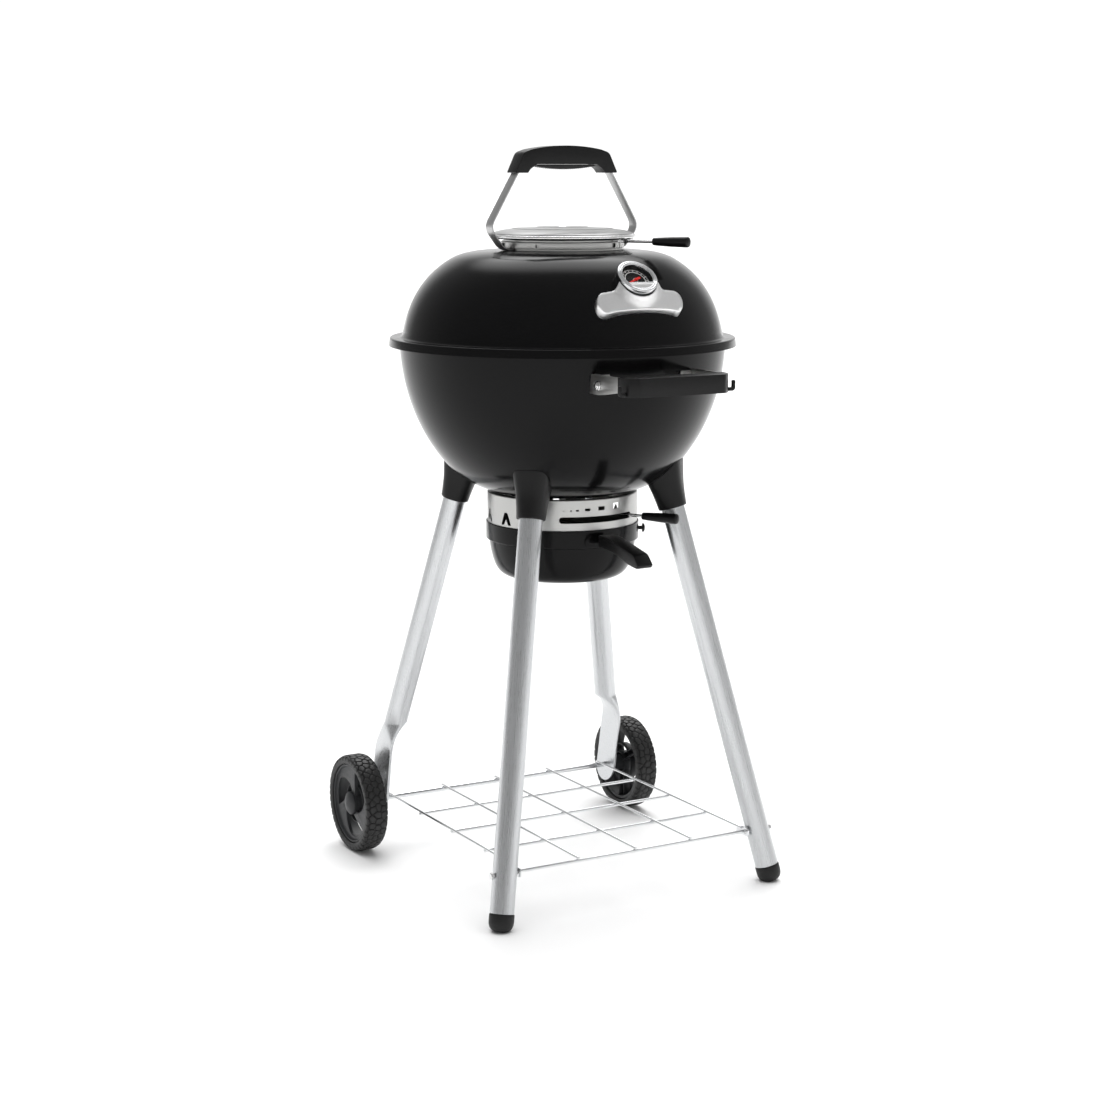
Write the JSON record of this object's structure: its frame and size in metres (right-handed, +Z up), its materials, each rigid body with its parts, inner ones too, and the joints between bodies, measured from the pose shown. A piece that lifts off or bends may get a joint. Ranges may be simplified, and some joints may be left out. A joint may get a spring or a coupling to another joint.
{
  "type": "kettle charcoal grill",
  "caption": "Round kettle charcoal grill with a domed lid, vent cap, thermometer, ash catcher, splayed tube legs, wire shelf and wheels at the back.",
  "frame": {"origin": "middle of the footprint, on the floor", "axes": "+Z up, -Y towards the front handle and the thermometer, wheels at +Y, axle along X"},
  "size_m": [0.535, 0.6264, 1.0955],
  "materials": {
    "enamel": "gloss",
    "steel": "satin",
    "chrome": "polished",
    "wire": "plated wire",
    "tube": "satin",
    "plastic": "matte",
    "hub": "matte",
    "tyre": "textured",
    "rubber": "matte",
    "iron": "dark oxide",
    "dial": "matte",
    "needle": "satin",
    "glass": "clear"
  },
  "bodies": {
    "stand": {"bowl_shell": "enamel", "damper_housing": "steel", "handle_arm_left": "steel", "handle_arm_right": "steel", "handle_bolt_left": "steel", "handle_bolt_right": "steel", "shelf_bolt_left": "steel", "shelf_bolt_right": "steel", "shelf_rack": "wire", "wheel_axle": "wire", "leg_front_left": "tube", "leg_front_right": "tube", "leg_rear_left": "tube", "leg_rear_right": "tube", "front_handle_grip": "plastic", "tool_hook_left": "plastic", "tool_hook_right": "plastic", "leg_socket_front_left": "plastic", "leg_socket_front_right": "plastic", "leg_socket_rear_left": "plastic", "leg_socket_rear_right": "plastic", "foot_cap_front_left": "rubber", "foot_cap_front_right": "rubber", "pan_stud_1": "iron", "pan_stud_2": "iron", "pan_stud_3": "iron"},
    "lid": {"lid_shell": "enamel", "lid_vent_collar": "steel", "lid_vent_cap": "steel", "lid_vent_cap_bolt": "steel", "lid_handle_strap": "steel", "lid_handle_screw_left": "steel", "lid_handle_screw_right": "steel", "lid_handle_grip": "plastic", "lid_handle_grip_pad": "rubber", "thermometer_bezel": "chrome", "thermometer_dial": "dial", "thermometer_stem": "steel", "thermometer_nut": "steel", "thermometer_lens": "glass", "badge_plate": "steel"},
    "vent_damper": {"lid_vent_damper_ring": "steel", "lid_vent_lever_rod": "steel", "lid_vent_lever_grip": "plastic"},
    "thermometer_pointer": {"thermometer_needle": "needle"},
    "bottom_damper": {"ash_sweep_blades": "iron", "ash_sweep_pivot": "steel", "bottom_lever_rod": "steel", "bottom_lever_grip": "plastic"},
    "ash_catcher": {"ash_pan": "enamel", "ash_pan_handle_bracket": "enamel", "ash_pan_handle_grip": "plastic"},
    "cooking_grate": {"cooking_grate": "chrome"},
    "charcoal_grate": {"charcoal_grate": "iron"},
    "wheel_left": {"wheel_tyre_left": "tyre", "wheel_hub_left": "hub", "wheel_cap_left": "hub"},
    "wheel_right": {"wheel_tyre_right": "tyre", "wheel_hub_right": "hub", "wheel_cap_right": "hub"}
  },
  "joints": [
    {"name": "lid_lift", "type": "slide", "parent": "stand", "child": "lid", "axis": [0, 0, 1], "range_m": [0, 0.3]},
    {"name": "vent_damper_turn", "type": "hinge", "parent": "lid", "child": "vent_damper", "pos_m": [0, 0.0198, 0.952], "axis": [0, 0, 1], "range_deg": [-30, 0]},
    {"name": "pointer_turn", "type": "hinge", "parent": "lid", "child": "thermometer_pointer", "pos_m": [0, -0.18188, 0.902], "axis": [0, -0.6691, 0.7431], "range_deg": [-220, 0], "stiffness_Nm_per_rad": 0.001},
    {"name": "bottom_damper_turn", "type": "hinge", "parent": "stand", "child": "bottom_damper", "pos_m": [0, 0.0198, 0.57], "axis": [0, 0, 1], "range_deg": [-60, 0]},
    {"name": "ash_catcher_drop", "type": "slide", "parent": "stand", "child": "ash_catcher", "axis": [0, 0, 1], "range_m": [-0.2, 0]},
    {"name": "cooking_grate_lift", "type": "slide", "parent": "stand", "child": "cooking_grate", "axis": [0, 0, 1], "range_m": [0, 0.05]},
    {"name": "charcoal_grate_lift", "type": "slide", "parent": "stand", "child": "charcoal_grate", "axis": [0, 0, 1], "range_m": [0, 0.08]},
    {"name": "wheel_left_spin", "type": "hinge", "parent": "stand", "child": "wheel_left", "pos_m": [-0.2465, 0.2372, 0.076], "axis": [1, 0, 0], "continuous": true},
    {"name": "wheel_right_spin", "type": "hinge", "parent": "stand", "child": "wheel_right", "pos_m": [0.2465, 0.2372, 0.076], "axis": [1, 0, 0], "continuous": true}
  ]
}
